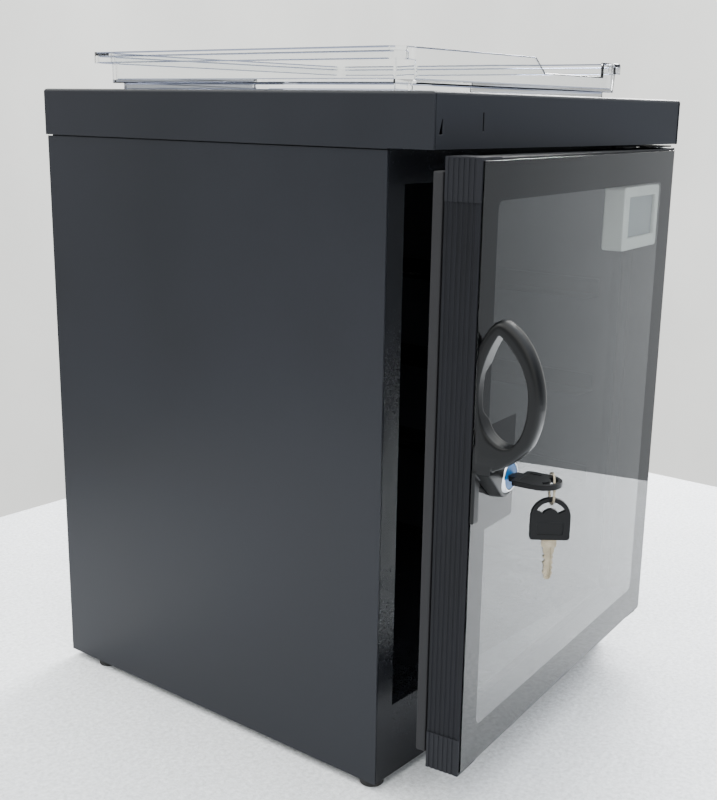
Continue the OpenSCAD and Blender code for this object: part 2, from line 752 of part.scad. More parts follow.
// Threaded barrel of the lock with its bevelled ring
module lock_body() {
    color("#c8cacd") ajar() at_xz(lock_x, lock_z) difference() {
        union() {
            rod_y(barrel_r, y0 - hub_h - eps, y0 + barrel_back);
            translate([0, y0 - hub_h, 0]) rotate([90, 0, 0]) cylinder(r1 = 11, r2 = 9.2, h = ring_face - hub_h);
        }
        rod_y(8.35, y0 - ring_face - 1, y0 - ring_face + 1.7);
        rod_y(plug_r + run_gap, y0 - ring_face - 1, y0 + barrel_back + 1);
    }
}

// Nut that clamps the lock and the handle on the glass
module lock_nut() {
    color("#b9bbbf") ajar() at_xz(lock_x, lock_z) difference() {
        rotate([0, 30, 0]) rod_y(12.4, y0 + glass_t + print_t, y0 + glass_t + print_t + 3.5, 6);
        rod_y(barrel_r + 0.05, y0, y0 + 12);
    }
}

// White humidity and temperature gauge, stuck on the inside of the glass
hyg = [x0 + 223.5, x0 + 294, 349, 394.5];
hyg_y0 = y0 + glass_t + 0.06;
hyg_y1 = y0 + 20;
module hygrometer_case() {
    cx = (hyg[0] + hyg[1]) / 2;
    cz = (hyg[2] + hyg[3]) / 2;
    color("#c9ccca") ajar() difference() {
        along_y(hyg_y0, hyg_y1) translate([cx, cz]) rrect(hyg[1] - hyg[0], hyg[3] - hyg[2], 3);
        along_y(hyg_y0 + 3, hyg_y1 + 1) translate([cx, cz]) rrect(hyg[1] - hyg[0] - 4, hyg[3] - hyg[2] - 4, 2);
        box([hyg[0] + 10.5, hyg_y0 - 1, 358], [hyg[1] - 6, hyg_y0 + 5, 387]);
    }
}

// Grey liquid crystal display
module hygrometer_screen() {
    color("#8d9294") ajar() box([hyg[0] + 8.5, hyg_y0 + 3, 356], [hyg[1] - 4, hyg_y0 + 5.4, 389]);
}

// Back of the gauge with its battery door
module hygrometer_back() {
    cx = (hyg[0] + hyg[1]) / 2;
    cz = (hyg[2] + hyg[3]) / 2;
    color("#c2c5c3") ajar() {
        difference() {
            along_y(hyg_y1 - 1.8, hyg_y1) translate([cx, cz]) rrect(hyg[1] - hyg[0] - 4.2, hyg[3] - hyg[2] - 4.2, 1.9);
            at_xz(cx + 16, cz) rod_y(11, hyg_y1 - 3, hyg_y1 + 1);
        }
        at_xz(cx + 16, cz) difference() {
            rod_y(10.8, hyg_y1 - 1.8, hyg_y1);
            box([-7, hyg_y1 - 0.7, -1], [7, hyg_y1 + 1, 1]);
        }
    }
}

// ---------------------------------------------------------------- lock plug and keys

// Turning plug with the keyway and a square tail for the cam
module lock_plug() {
    color("#b3a36a") ajar() at_xz(lock_x, lock_z) difference() {
        union() {
            rod_y(plug_r, y0 - ring_face + 1.8, y0 + cam_y - 0.2);
            box([-3, y0 + cam_y - 0.3, -3], [3, y0 + cam_y + cam_t, 3]);
            rod_y(2.4, y0 + cam_y + cam_t - eps, y0 + cam_y + cam_t + 4);
        }
        box([-slot_w / 2, y0 - ring_face - 1, -slot_h / 2], [slot_w / 2, y0 + 16, slot_h / 2]);
    }
}

// Blue face of the plug
module plug_face() {
    color("#2b86c4") ajar() at_xz(lock_x, lock_z) difference() {
        rod_y(8.1, y0 - ring_face + 0.3, y0 - ring_face + 1.5);
        box([-slot_w / 2, y0 - 20, -slot_h / 2], [slot_w / 2, y0, slot_h / 2]);
    }
}

// Cam that turns behind the keeper
module lock_cam() {
    color("#b9bbbf") ajar() at_xz(lock_x, lock_z) difference() {
        union() {
            rod_y(7.5, y0 + cam_y, y0 + cam_y + cam_t);
            box([-6, y0 + cam_y, 0], [6, y0 + cam_y + cam_t, 20]);
            translate([0, 0, 20]) rod_y(6, y0 + cam_y, y0 + cam_y + cam_t);
        }
        box([-3.05, y0 + cam_y - 1, -3.05], [3.05, y0 + cam_y + 5, 3.05]);
    }
}

// Nut on the plug's tail
module cam_nut() {
    color("#b9bbbf") ajar() at_xz(lock_x, lock_z) difference() {
        rod_y(4.6, y0 + cam_y + cam_t, y0 + cam_y + cam_t + 3, 6);
        rod_y(2.45, y0 + cam_y, y0 + cam_y + 12);
    }
}

// Outline of a key's bow: flat base at v = 0, round end at v = bow_l, with a crescent hole
bow_l = 27;
bow_t = 3.2;
neck_l = 4.6;
slot_r = 9.6;
module bow_outline() {
    r = bow_w / 2;
    c = bow_l - r;
    difference() {
        union() {
            translate([0, c]) circle(r);
            translate([-r, 2]) square([bow_w, c - 2]);
            translate([-r + 2, 0]) square([bow_w - 4, 4]);
            for (x = [-1, 1]) translate([x * (r - 2), 2]) circle(2, $fn = 32);
        }
        translate([0, c]) intersection() {
            difference() {
                circle(slot_r);
                circle(slot_r - 4.4);
            }
            polygon([[0, 0], [22, 11], [0, 30], [-22, 11]]);
        }
    }
}

// Blade outline, hanging from v = 0 to v = -blade_l
blade_l = 26;
module blade_outline(w) {
    n = 5;
    difference() {
        union() {
            translate([-w / 2, -blade_l + 2]) square([w, blade_l - 2]);
            translate([-w / 2 + 1.6, -blade_l]) square([w - 3.2, 3]);
            translate([-w / 2 + 1.6, -blade_l + 2]) circle(1.6, $fn = 32);
            translate([w / 2 - 1.6, -blade_l + 2]) circle(1.6, $fn = 32);
        }
        for (i = [0 : n - 1]) translate([w / 2 + 0.4, -7 - 3 * i]) circle(1.2, $fn = 24);
    }
}

key_y = y0 - ring_face - 0.8 - neck_l;

// Draws an outline as the inserted key: v runs out from the lock, lying level, t thick
module key_level(t) {
    translate([lock_x, key_y, lock_z - t / 2]) mirror([0, 1, 0]) linear_extrude(t) children();
}

// Plastic bow of the key in the lock
module key_bow() {
    color("#1b1c1f") ajar() key_level(bow_t) {
        bow_outline();
        translate([-5.5, -neck_l]) square([11, neck_l + 1]);
    }
}

// Metal blade of the key in the lock
module key_blade() {
    color("#b9b6aa") ajar() key_level(2) translate([0, -neck_l]) blade_outline(slot_w - 2 * key_gap);
}

// Middle of the key ring, which hangs over the end of the inserted key's bow
ring_dir = 32.2;
bow_cy = key_y - bow_l + bow_w / 2;
ring_c = [lock_x + 10, bow_cy - 2.5, lock_z - 6.25];
wire_r = 0.95;

// Key ring
module key_ring() {
    color("#c6c3b6") ajar() translate(ring_c) rotate([90, 0, ring_dir]) rotate_extrude($fn = 96)
        translate([ring_r, 0]) circle(wire_r, $fn = 24);
}

// Draws an outline as the spare key: v points up, width across the ring's plane, t thick
module key_hang(t) {
    bow_top = ring_c[2] - ring_r + wire_r + 0.35 + bow_w / 2 - slot_r;
    translate([ring_c[0], ring_c[1], bow_top - bow_l]) rotate([90, 0, ring_dir + 90])
        translate([0, 0, -t / 2]) linear_extrude(t) children();
}

module spare_bow() {
    color("#1b1c1f") ajar() key_hang(bow_t) bow_outline();
}

module spare_blade() {
    color("#b9b6aa") ajar() key_hang(2) blade_outline(7);
}

// ---------------------------------------------------------------- tray

// Clear tray: tapered walls, a stepped rim that slides on rails, and a finger recess in front
module tray() {
    wall_w = tray_w - 2 * tray_rim;
    front = -tray_w / 2;
    depth = tray_w - tray_rim;
    cy = -tray_rim / 2;
    color([0.85, 0.87, 0.88, 0.35]) translate([tray_x, tray_y, tray_z]) difference() {
        union() {
            translate([0, 0, tray_h - rim_d]) linear_extrude(rim_d) rrect(tray_w, tray_w, 8);
            translate([0, cy, base_d - eps]) linear_extrude(tray_h - base_d - 1) rrect(wall_w, depth, 10);
            linear_extrude(base_d) translate([0, cy]) rrect(wall_w - 12, depth - 12, 8);
        }
        translate([0, cy, base_d + tray_t]) linear_extrude(tray_h) rrect(wall_w - 2 * tray_t, depth - 2 * tray_t, 8);
        translate([0, 0, tray_h - rim_d - 1]) linear_extrude(1 + rim_d - tray_t) difference() {
            rrect(tray_w - 2 * tray_t, tray_w - 2 * tray_t, 6);
            translate([0, cy]) rrect(wall_w, depth, 10);
        }
        translate([0, 0, 15]) rotate([90, 0, 0]) linear_extrude(tray_w)
            polygon([[25.5, 0], [106, 0], [106, 20], [12.5, 20], [12.5, 10]]);
        along_y(front - 1, front + 12) translate([tray_w / 2 - 10, tray_h - 10]) difference() {
            square(11);
            circle(10);
        }
    }
}

side_wrap();
face_frame();
back_panel();
floor_pan();
inner_floor();
hood_cap();
hood_front();
feet();
foot_screws();
back_screws();
hinge_bracket_top();
hinge_bracket_bottom();
hinge_pins();
hinge_screws();
thrust_washer();
strike_plate();
shelf_rails();
module_housing();
module_grille();
cold_sink();
peltier_tile();
hot_sink();
fan_frame();
fan_rotor();
control_board();
humidity_sensor();
power_jack();
power_lead();
module_screws();
glass_pane();
border_print();
frame_bar_left();
frame_bar_right();
frame_bar_top();
frame_bar_bottom();
corner_top_left();
corner_top_right();
corner_bottom_left();
corner_bottom_right();
door_gasket();
gasket_magnets();
hinge_bushes();
handle();
lock_body();
lock_nut();
hygrometer_case();
hygrometer_screen();
hygrometer_back();
lock_plug();
plug_face();
lock_cam();
cam_nut();
key_bow();
key_blade();
key_ring();
spare_bow();
spare_blade();
tray();
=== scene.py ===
"""Looks of the small electronic dry cabinet: charcoal steel box, glass door, lock, keys and clear tray.

Everything is in metres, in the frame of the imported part: +Z up, -Y the front, the origin on the floor
under the middle of the cabinet.
"""

import json
import math

import bmesh
import bpy
from mathutils import Matrix, Vector


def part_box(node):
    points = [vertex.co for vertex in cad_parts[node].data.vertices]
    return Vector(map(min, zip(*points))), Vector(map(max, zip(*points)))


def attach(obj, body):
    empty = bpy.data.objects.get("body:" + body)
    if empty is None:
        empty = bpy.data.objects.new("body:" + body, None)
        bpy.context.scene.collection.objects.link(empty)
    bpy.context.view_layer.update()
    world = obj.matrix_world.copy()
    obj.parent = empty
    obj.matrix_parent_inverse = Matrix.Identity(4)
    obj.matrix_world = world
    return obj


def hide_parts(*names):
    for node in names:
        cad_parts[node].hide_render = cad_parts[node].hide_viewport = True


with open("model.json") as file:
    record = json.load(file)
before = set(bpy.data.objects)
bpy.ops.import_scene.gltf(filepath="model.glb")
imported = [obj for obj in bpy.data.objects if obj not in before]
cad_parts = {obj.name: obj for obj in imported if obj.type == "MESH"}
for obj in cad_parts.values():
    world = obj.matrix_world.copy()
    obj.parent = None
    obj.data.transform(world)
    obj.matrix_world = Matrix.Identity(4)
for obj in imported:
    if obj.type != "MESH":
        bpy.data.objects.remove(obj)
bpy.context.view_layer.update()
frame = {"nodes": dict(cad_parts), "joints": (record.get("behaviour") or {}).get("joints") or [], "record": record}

MM = 0.001
NODES = frame["nodes"]
RECORD = frame["record"]
BODY_OF = {n: b for b, members in RECORD["behaviour"]["bodies"].items() for n in members}
SLOT_OF = {s["node"]: s["material_slot"] for s in RECORD["subparts"]}
JOINT = {j["name"]: j for j in frame["joints"]}


# ---------------------------------------------------------------- camera


def aim_camera():
    """The camera stands to the left of the door, a little under the height of the hood."""
    yaw, pitch, roll = (math.radians(a) for a in (51.44, -14.65, 1.04))
    ahead = Vector((math.sin(yaw) * math.cos(pitch), math.cos(yaw) * math.cos(pitch), math.sin(pitch)))
    right = ahead.cross(Vector((0, 0, 1))).normalized()
    up = right.cross(ahead)
    right, up = (
        math.cos(roll) * right + math.sin(roll) * up,
        math.cos(roll) * up - math.sin(roll) * right,
    )
    turn = Matrix((right, up, -ahead)).transposed().to_4x4()
    data = bpy.data.cameras.new("camera")
    data.sensor_width = 36
    data.lens = 53.48
    data.shift_x, data.shift_y = -0.0127, 0.0257
    data.clip_start, data.clip_end = 0.02, 50
    camera = bpy.data.objects.new("camera", data)
    bpy.context.scene.collection.objects.link(camera)
    camera.matrix_world = Matrix.Translation((-0.71966, -0.58097, 0.44488)) @ turn
    bpy.context.scene.camera = camera


aim_camera()


# ---------------------------------------------------------------- materials


def linear(code, alpha=1.0):
    """A hex sRGB colour as linear RGBA."""
    parts = [int(code[i : i + 2], 16) / 255 for i in (1, 3, 5)]
    return (*[c / 12.92 if c <= 0.04045 else ((c + 0.055) / 1.055) ** 2.4 for c in parts], alpha)


def add(tree, kind, inputs=None, **settings):
    """Adds a node with its settings, and fills its inputs with values or with other nodes' outputs."""
    made = tree.nodes.new(kind)
    for name, value in settings.items():
        setattr(made, name, value)
    for name, value in (inputs or {}).items():
        if isinstance(value, bpy.types.NodeSocket):
            tree.links.new(value, made.inputs[name])
        else:
            made.inputs[name].default_value = value
    return made


def blank(name):
    """A new material with nothing but its output."""
    made = bpy.data.materials.new(name)
    made.use_nodes = True
    made.node_tree.nodes.clear()
    return made, made.node_tree


def per_metre(size_mm):
    """The texture scale at which one feature measures size_mm."""
    return 1000 / size_mm


# Blotches of tarnish on metal and the depth of its drawn lines, in mm.
TARNISH, LINE_DEPTH = 7, 0.01
# How far round a clear surface has turned from the eye, from 0 to 1, when its edge tint starts: partly the
# plastic's own faint tint, partly painted shade.
EDGE_ON = 0.45


def finish(tree, inputs):
    """The shader and the output that every material ends with."""
    body = add(tree, "ShaderNodeBsdfPrincipled", inputs)
    add(tree, "ShaderNodeOutputMaterial", {"Surface": body.outputs[0]})


def surface(
    name, colour, shade, rough, rough_span, grain, bump, stretch=(1, 1, 1), cloud=60, shine=0.5, ior=1.5
):
    """A coated or moulded surface.

    colour and shade are its two tones, which drift over about cloud mm. grain is the size in mm of its
    relief, bump the relief's height in mm, and stretch squeezes the grain along an axis. shine is how much
    of the light that meets the surface head on is mirrored, 0.5 being that of its ior.
    """
    made, tree = blank(name)
    place = add(tree, "ShaderNodeTexCoord").outputs["Object"]
    drawn = add(tree, "ShaderNodeMapping", {"Vector": place, "Scale": stretch}).outputs["Vector"]
    drift = add(tree, "ShaderNodeTexNoise", {"Vector": place, "Scale": per_metre(cloud), "Detail": 3.0})
    fine_grain = {"Vector": drawn, "Scale": per_metre(grain), "Detail": 3.0, "Roughness": 0.6}
    fine = add(tree, "ShaderNodeTexNoise", fine_grain).outputs["Fac"]
    both = add(tree, "ShaderNodeMath", {0: drift.outputs["Fac"], 1: fine}, operation="ADD").outputs[0]
    spread = {"Value": both, "From Min": 0.7, "From Max": 1.3}
    tone = add(tree, "ShaderNodeMapRange", spread).outputs[0]
    paint = add(tree, "ShaderNodeMix", {0: tone, 6: linear(colour), 7: linear(shade)}, data_type="RGBA")
    gloss = add(
        tree,
        "ShaderNodeMapRange",
        {**spread, "To Min": rough - rough_span, "To Max": rough + rough_span},
    )
    relief = add(tree, "ShaderNodeBump", {"Height": fine, "Strength": 1.0, "Distance": bump * MM})
    finish(
        tree,
        {
            "Base Color": paint.outputs[2],
            "Roughness": gloss.outputs[0],
            "Normal": relief.outputs[0],
            "Specular IOR Level": shine,
            "IOR": ior,
        },
    )
    return made


def brushed(name, colour, shade, rough, line, stretch):
    """Bare or plated metal with fine lines of about line mm, drawn out along stretch's small axis."""
    made, tree = blank(name)
    place = add(tree, "ShaderNodeTexCoord").outputs["Object"]
    drawn = add(tree, "ShaderNodeMapping", {"Vector": place, "Scale": stretch}).outputs["Vector"]
    line_grain = {"Vector": drawn, "Scale": per_metre(line), "Detail": 4.0}
    lines = add(tree, "ShaderNodeTexNoise", line_grain).outputs["Fac"]
    blotches = {"Vector": place, "Scale": per_metre(TARNISH), "Detail": 2.0}
    tarnish = add(tree, "ShaderNodeTexNoise", blotches).outputs["Fac"]
    tone = add(tree, "ShaderNodeMix", {0: tarnish, 6: linear(colour), 7: linear(shade)}, data_type="RGBA")
    gloss = add(tree, "ShaderNodeMapRange", {"Value": lines, "To Min": rough * 0.7, "To Max": rough * 1.4})
    relief = add(tree, "ShaderNodeBump", {"Height": lines, "Strength": 0.6, "Distance": LINE_DEPTH * MM})
    finish(
        tree,
        {
            "Base Color": tone.outputs[2],
            "Metallic": 1.0,
            "Roughness": gloss.outputs[0],
            "Normal": relief.outputs[0],
        },
    )
    return made


def clear(name, colour, rough, ior, ripple, wave, edge=None):
    """A clear material whose surface ripples by ripple mm over wave mm.

    edge is the colour that it takes on where a surface is seen edge on: painted shade for the dark lines of clear
    edges, over the material's own faint tint.
    """
    made, tree = blank(name)
    place = add(tree, "ShaderNodeTexCoord").outputs["Object"]
    slow = add(tree, "ShaderNodeTexNoise", {"Vector": place, "Scale": per_metre(wave), "Detail": 1.0})
    relief = add(
        tree,
        "ShaderNodeBump",
        {"Height": slow.outputs["Fac"], "Strength": 1.0, "Distance": ripple * MM},
    )
    tint = linear(colour)
    if edge:
        # The colour darkens to edge as the surface turns from the eye: painted edge shade over the plastic's own
        # tint.
        view = add(tree, "ShaderNodeLayerWeight", {"Blend": 0.5}).outputs["Facing"]
        turned = add(tree, "ShaderNodeMapRange", {"Value": view, "From Min": EDGE_ON, "From Max": 0.95})
        shades = {0: turned.outputs[0], 6: linear(colour), 7: linear(edge)}
        tint = add(tree, "ShaderNodeMix", shades, data_type="RGBA").outputs[2]
    finish(
        tree,
        {
            "Base Color": tint,
            "Roughness": rough,
            "IOR": ior,
            "Transmission Weight": 1.0,
            "Normal": relief.outputs[0],
        },
    )
    return made


LONG_Z, LONG_X = (1, 1, 0.02), (0.02, 1, 1)
FINISH = {
    # Polyester powder coat on steel, sprayed and baked: a soft sheen over a faint orange peel of 1.6 mm.
    "body_powder_coat": surface(
        "charcoal_powder_coat", "#1a1c21", "#1d1f25", 0.44, 0.03, 1.6, 0.03, cloud=90, shine=0.2
    ),
    # The same coat in black: deeper and smoother, so it mirrors the table near its foot.
    "face_powder_coat": surface(
        "black_powder_coat", "#121316", "#15161a", 0.26, 0.02, 1.6, 0.004, cloud=80, shine=0.15
    ),
    # Moulded rubber: dull, with dust-grey patches.
    "foot_rubber": surface("moulded_rubber", "#0d0d0d", "#151515", 0.82, 0.06, 0.9, 0.03, cloud=6),
    # Zinc plated steel: bright, bluish, faintly drawn.
    "zinc_steel": brushed("zinc_plated_steel", "#b4b8bd", "#a3a7ad", 0.3, 0.4, (1, 0.1, 1)),
    # Black oxide screws: dark metal with an oily sheen.
    "black_screws": brushed("black_oxide_steel", "#2a2a2d", "#1d1d20", 0.38, 0.3, (1, 1, 1)),
    # Natural nylon: milky and waxy.
    "nylon": surface("natural_nylon", "#d9d8d0", "#cfcec5", 0.42, 0.03, 0.8, 0.01, cloud=8, ior=1.53),
    # Moulded black ABS with a spark-eroded grain of 0.8 mm.
    "module_plastic": surface("grained_black_abs", "#17181a", "#1e1f22", 0.55, 0.05, 0.8, 0.03, ior=1.54),
    # Extruded aluminium, bead blasted: soft grey with drawn lines.
    "sink_aluminium": brushed("extruded_aluminium", "#b7babd", "#a5a8ab", 0.42, 0.5, LONG_Z),
    # Alumina ceramic: chalk white.
    "tile_ceramic": surface("alumina_ceramic", "#e6e5df", "#dddcd5", 0.6, 0.04, 0.5, 0.01, ior=1.7),
    # Glass-epoxy board under green solder mask.
    "circuit_board": surface("green_solder_mask", "#1d5236", "#174229", 0.3, 0.03, 1.2, 0.01, cloud=4),
    # White ABS of the humidity probe.
    "white_plastic": surface("white_abs", "#dddfdd", "#d2d4d2", 0.5, 0.04, 0.8, 0.01, ior=1.54),
    # Red PVC insulation.
    "lead_insulation": surface("red_pvc", "#8f2a22", "#7f241d", 0.4, 0.03, 0.8, 0.01),
    # Toughened float glass with a low-reflection coat, its slow roller wave bends reflections a little.
    "door_glass": clear("toughened_glass", "#f4f7f6", 0.0, 1.43, 0.02, 130),
    # Ceramic ink fired on the back of the glass: dense black, seen through the glass only.
    "glass_print": surface(
        "fired_ceramic_ink", "#090a0b", "#0c0d0e", 0.7, 0.02, 0.6, 0.005, shine=0.0
    ),
    # Extruded ABS: satin, with faint die lines along the bar.
    "frame_plastic": surface(
        "extruded_abs_upright", "#0d0e11", "#14151a", 0.5, 0.06, 0.9, 0.02, LONG_Z, shine=0.14
    ),
    # Soft PVC seal: dull black, with a pale bloom.
    "gasket_rubber": surface(
        "soft_pvc_seal", "#141417", "#1a1a1d", 0.62, 0.05, 1.0, 0.02, shine=0.3
    ),
    "magnet_ferrite": surface("bonded_ferrite", "#2c2725", "#363130", 0.75, 0.05, 0.7, 0.02),
    # Moulded ABS of the handle: a fine satin that gives long soft highlights.
    "handle_plastic": surface(
        "satin_black_abs", "#060708", "#08090b", 0.33, 0.02, 0.7, 0.004, shine=0.21
    ),
    # Chrome plate on zinc: a near mirror with faint turning marks.
    "lock_chrome": brushed("chrome_plate", "#dcdee2", "#cfd2d7", 0.08, 0.3, (1, 1, 1)),
    "gauge_plastic": surface("off_white_abs", "#c9cdca", "#bfc3c0", 0.5, 0.04, 0.8, 0.01, ior=1.54),
    # Liquid crystal display behind its clear sheet: grey-green and glossy.
    "gauge_screen": surface("liquid_crystal_display", "#7f868a", "#787f83", 0.16, 0.02, 0.6, 0.0, cloud=25),
    "plug_brass": brushed("machined_brass", "#b59a5b", "#a58b4e", 0.3, 0.3, (1, 0.2, 1)),
    # Transparent blue lacquer on the plug's face.
    "plug_blue": surface(
        "blue_lacquer", "#0566a6", "#04508a", 0.3, 0.03, 0.8, 0.01, cloud=5, shine=0.35
    ),
    # Moulded key bow: black, slightly waxy.
    "key_plastic": surface(
        "moulded_key_plastic", "#060709", "#090a0c", 0.4, 0.04, 0.6, 0.01, shine=0.16
    ),
    # Nickel plated brass and steel wire, a little warm.
    "key_nickel": brushed("nickel_plate", "#a79d88", "#5c5447", 0.26, 0.35, (1, 1, 1)),
    # Clear polystyrene, injection moulded: faint flow ripple, and blue-grey where it is seen edge on, partly its
    # own faint tint and partly painted shade for the dark lines of its rims.
    "tray_acrylic": clear("clear_polystyrene", "#fafbfb", 0.02, 1.4, 0.02, 18, edge="#6f7590"),
}
# The same polystyrene on the tray's rounded edges, darker and blue-grey: partly its own tint, partly painted shade
# that draws the dark lines of the rims.
TRAY_EDGE_SHADE = clear("clear_polystyrene_edge_shade", "#8a91a8", 0.08, 1.22, 0.01, 18)
SILL_ABS = surface(
    "extruded_abs_sill", "#0d0e11", "#14151a", 0.5, 0.06, 0.9, 0.02, LONG_X, shine=0.14
)
BLOCK_ABS = surface(
    "moulded_abs_block", "#131418", "#1a1b20", 0.52, 0.05, 0.9, 0.02, shine=0.17
)

for name, node in NODES.items():
    node.data.materials.clear()
    node.data.materials.append(FINISH[SLOT_OF[name]])


# ---------------------------------------------------------------- pieces from CAD nodes


# Edges that turn by more than this are real edges of the piece.
BENT = math.radians(40)


def link(mesh, name):
    """Puts a mesh in the scene as an object at the origin."""
    made = bpy.data.objects.new(name, mesh)
    bpy.context.scene.collection.objects.link(made)
    return made


def merged(name):
    """A copy of a CAD node's mesh with its doubles merged and its flat faces made whole."""
    shape = bmesh.new()
    shape.from_mesh(NODES[name].data)
    bmesh.ops.remove_doubles(shape, verts=shape.verts, dist=2e-6)
    bmesh.ops.dissolve_limit(shape, angle_limit=math.radians(0.3), verts=shape.verts, edges=shape.edges)
    plain = bpy.data.meshes.new("plain")
    shape.to_mesh(plain)
    shape.free()
    corners = [tuple(v.co) for v in plain.vertices]
    clean = bpy.data.meshes.new("clean")
    clean.from_pydata(corners, [], [list(p.vertices) for p in plain.polygons])
    clean.update()
    return clean


def settle(made):
    """Applies a piece's modifiers and leaves a plain mesh."""
    graph = bpy.context.evaluated_depsgraph_get()
    final = bpy.data.meshes.new_from_object(made.evaluated_get(graph), depsgraph=graph)
    made.modifiers.clear()
    made.data = final
    return made


def smooth(mesh, angle=35):
    """Shades a mesh smooth, but for edges sharper than angle degrees."""
    mesh.polygons.foreach_set("use_smooth", [True] * len(mesh.polygons))
    mesh.set_sharp_from_angle(angle=math.radians(angle))


def taken_over(made, name):
    """Gives a piece the body of a CAD node and hides the node, so that the piece takes its place."""
    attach(made, BODY_OF[name])
    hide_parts(name)
    return made


def stand_for(made, name, coat=None):
    """Makes a piece take the place of a CAD node, with the node's finish or a coat of its own."""
    made.data.materials.clear()
    made.data.materials.append(coat or FINISH[SLOT_OF[name]])
    return taken_over(made, name)


def rounding(made, radius, segments):
    """Adds the modifiers that round a piece's edges by radius mm and keep its flats flat."""
    edge = made.modifiers.new("edge", "BEVEL")
    edge.width, edge.segments = radius * MM, segments
    edge.limit_method, edge.angle_limit = "ANGLE", BENT
    flat = made.modifiers.new("flat", "WEIGHTED_NORMAL")
    flat.keep_sharp = True
    smooth(made.data, 80)
    return edge


def softened(name, radius, segments=2, shift=(0, 0, 0), coat=None, cuts=()):
    """A CAD node with its edges rounded by radius mm, as bent sheet or moulded plastic has them."""
    mesh = merged(name)
    mesh.transform(Matrix.Translation(Vector(shift) * MM))
    made = link(mesh, name + "_rounded")
    for cutter in cuts:
        slice_off = made.modifiers.new("cut", "BOOLEAN")
        slice_off.object, slice_off.operation, slice_off.solver = cutter, "DIFFERENCE", "EXACT"
    rounding(made, radius, segments)
    settle(made)
    for cutter in cuts:
        bpy.data.objects.remove(cutter)
    return stand_for(made, name, coat)


def clear_tray(radius=0.8, segments=3, shortest=3):
    """The tray, with a darker blue-grey finish of its own on its rounded edges: partly the plastic's tint, partly
    painted shade for the rims' dark lines.

    Only edges longer than shortest mm are rounded: its round corners are made of chords, which would
    tear a wide bevel.
    """
    mesh = merged("tray")
    made = link(mesh, "tray_rounded")
    mesh.materials.append(FINISH[SLOT_OF["tray"]])
    mesh.materials.append(TRAY_EDGE_SHADE)
    edge = rounding(made, radius, segments)
    # The rounded edges take the darker edge material: painted shade over the plastic's own tint.
    edge.limit_method, edge.use_clamp_overlap, edge.material = "WEIGHT", False, 1
    weights = mesh.attributes.new("bevel_weight_edge", "FLOAT", "EDGE")
    shape = bmesh.new()
    shape.from_mesh(mesh)
    for row, line in zip(weights.data, shape.edges):
        bent = len(line.link_faces) == 2 and line.calc_face_angle() > BENT
        row.value = float(bent and line.calc_length() > shortest * MM)
    shape.free()
    settle(made)
    low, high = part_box("tray")
    for v in made.data.vertices:
        v.co = [min(max(v.co[i], low[i]), high[i]) for i in range(3)]
    return taken_over(made, "tray")


SHEET_EDGE, BRACKET_EDGE, FRAME_EDGE = 0.4, 0.3, 0.25
for name in ("side_wrap", "hood_cap", "hood_front", "back_panel", "floor_pan"):
    softened(name, SHEET_EDGE)
for name in ("face_frame", "inner_floor", "shelf_rails", "hinge_bracket_top", "hinge_bracket_bottom"):
    softened(name, BRACKET_EDGE)
for name in ("frame_bar_left", "frame_bar_right"):
    softened(name, FRAME_EDGE)
for name in ("frame_bar_top", "frame_bar_bottom"):
    softened(name, FRAME_EDGE, coat=SILL_ABS)
for name in ("corner_top_left", "corner_top_right", "corner_bottom_left", "corner_bottom_right"):
    softened(name, FRAME_EDGE, coat=BLOCK_ABS)
softened("feet", 0.7)
softened("hinge_pins", 0.2)
softened("strike_plate", 0.3)
softened("door_gasket", 0.9, 3)
softened("glass_pane", 0.5)
softened("hygrometer_case", 1.0, 3)
softened("hygrometer_back", 0.4)
softened("module_grille", 0.4)
softened("module_housing", 0.5)
clear_tray()
softened("lock_body", 0.3, 3)
softened("plug_face", 0.3, 3)
softened("thrust_washer", 0.15)
softened("lock_nut", 0.4)
softened("lock_cam", 0.3)
# The print lies against the glass: it is drawn a hair inside the pane, so that only the glass mirrors.
softened("border_print", 0.02, 1, shift=(-0.006, -0.06, 0))


def door_place(x, y, z):
    """Where a point of the closed door, in mm, is with the door as it stands."""
    hinge = JOINT["door_hinge"]
    pivot = Vector(hinge["pos_m"])
    ajar = Matrix.Rotation(-math.radians(hinge["range_deg"][0]), 4, "Z")
    return pivot + ajar @ (Vector((x, y, z)) * MM - pivot)


def bezier(a, b, c, d, n=16):
    """Points of a cubic curve, without its last one."""
    points = []
    for i in range(n):
        t = i / n
        shares = ((1 - t) ** 3, 3 * (1 - t) ** 2 * t, 3 * (1 - t) * t * t, t**3)
        points.append([sum(share * p[k] for share, p in zip(shares, (a, b, c, d))) for k in (0, 1)])
    return points


def reach(outline, centre, angle):
    """How far a ray from centre goes before it crosses a closed outline."""
    way = (math.cos(angle), math.sin(angle))
    best = 0
    for (ax, ay), (bx, by) in zip(outline, outline[1:] + outline[:1]):
        ex, ey = bx - ax, by - ay
        cross = way[0] * ey - way[1] * ex
        if abs(cross) < 1e-9:
            continue
        px, py = ax - centre[0], ay - centre[1]
        along, part = (px * ey - py * ex) / cross, (px * way[1] - py * way[0]) / cross
        if along > 0 and -1e-9 <= part <= 1 + 1e-9:
            best = max(best, along)
    return best


FRONT, EDGE, GRIP = -178.0, -161.7, 13.0
LOCK_X, LOCK_Z, HUB_R, HUB_H = -129.0, 231.0, 14.5, 8.2


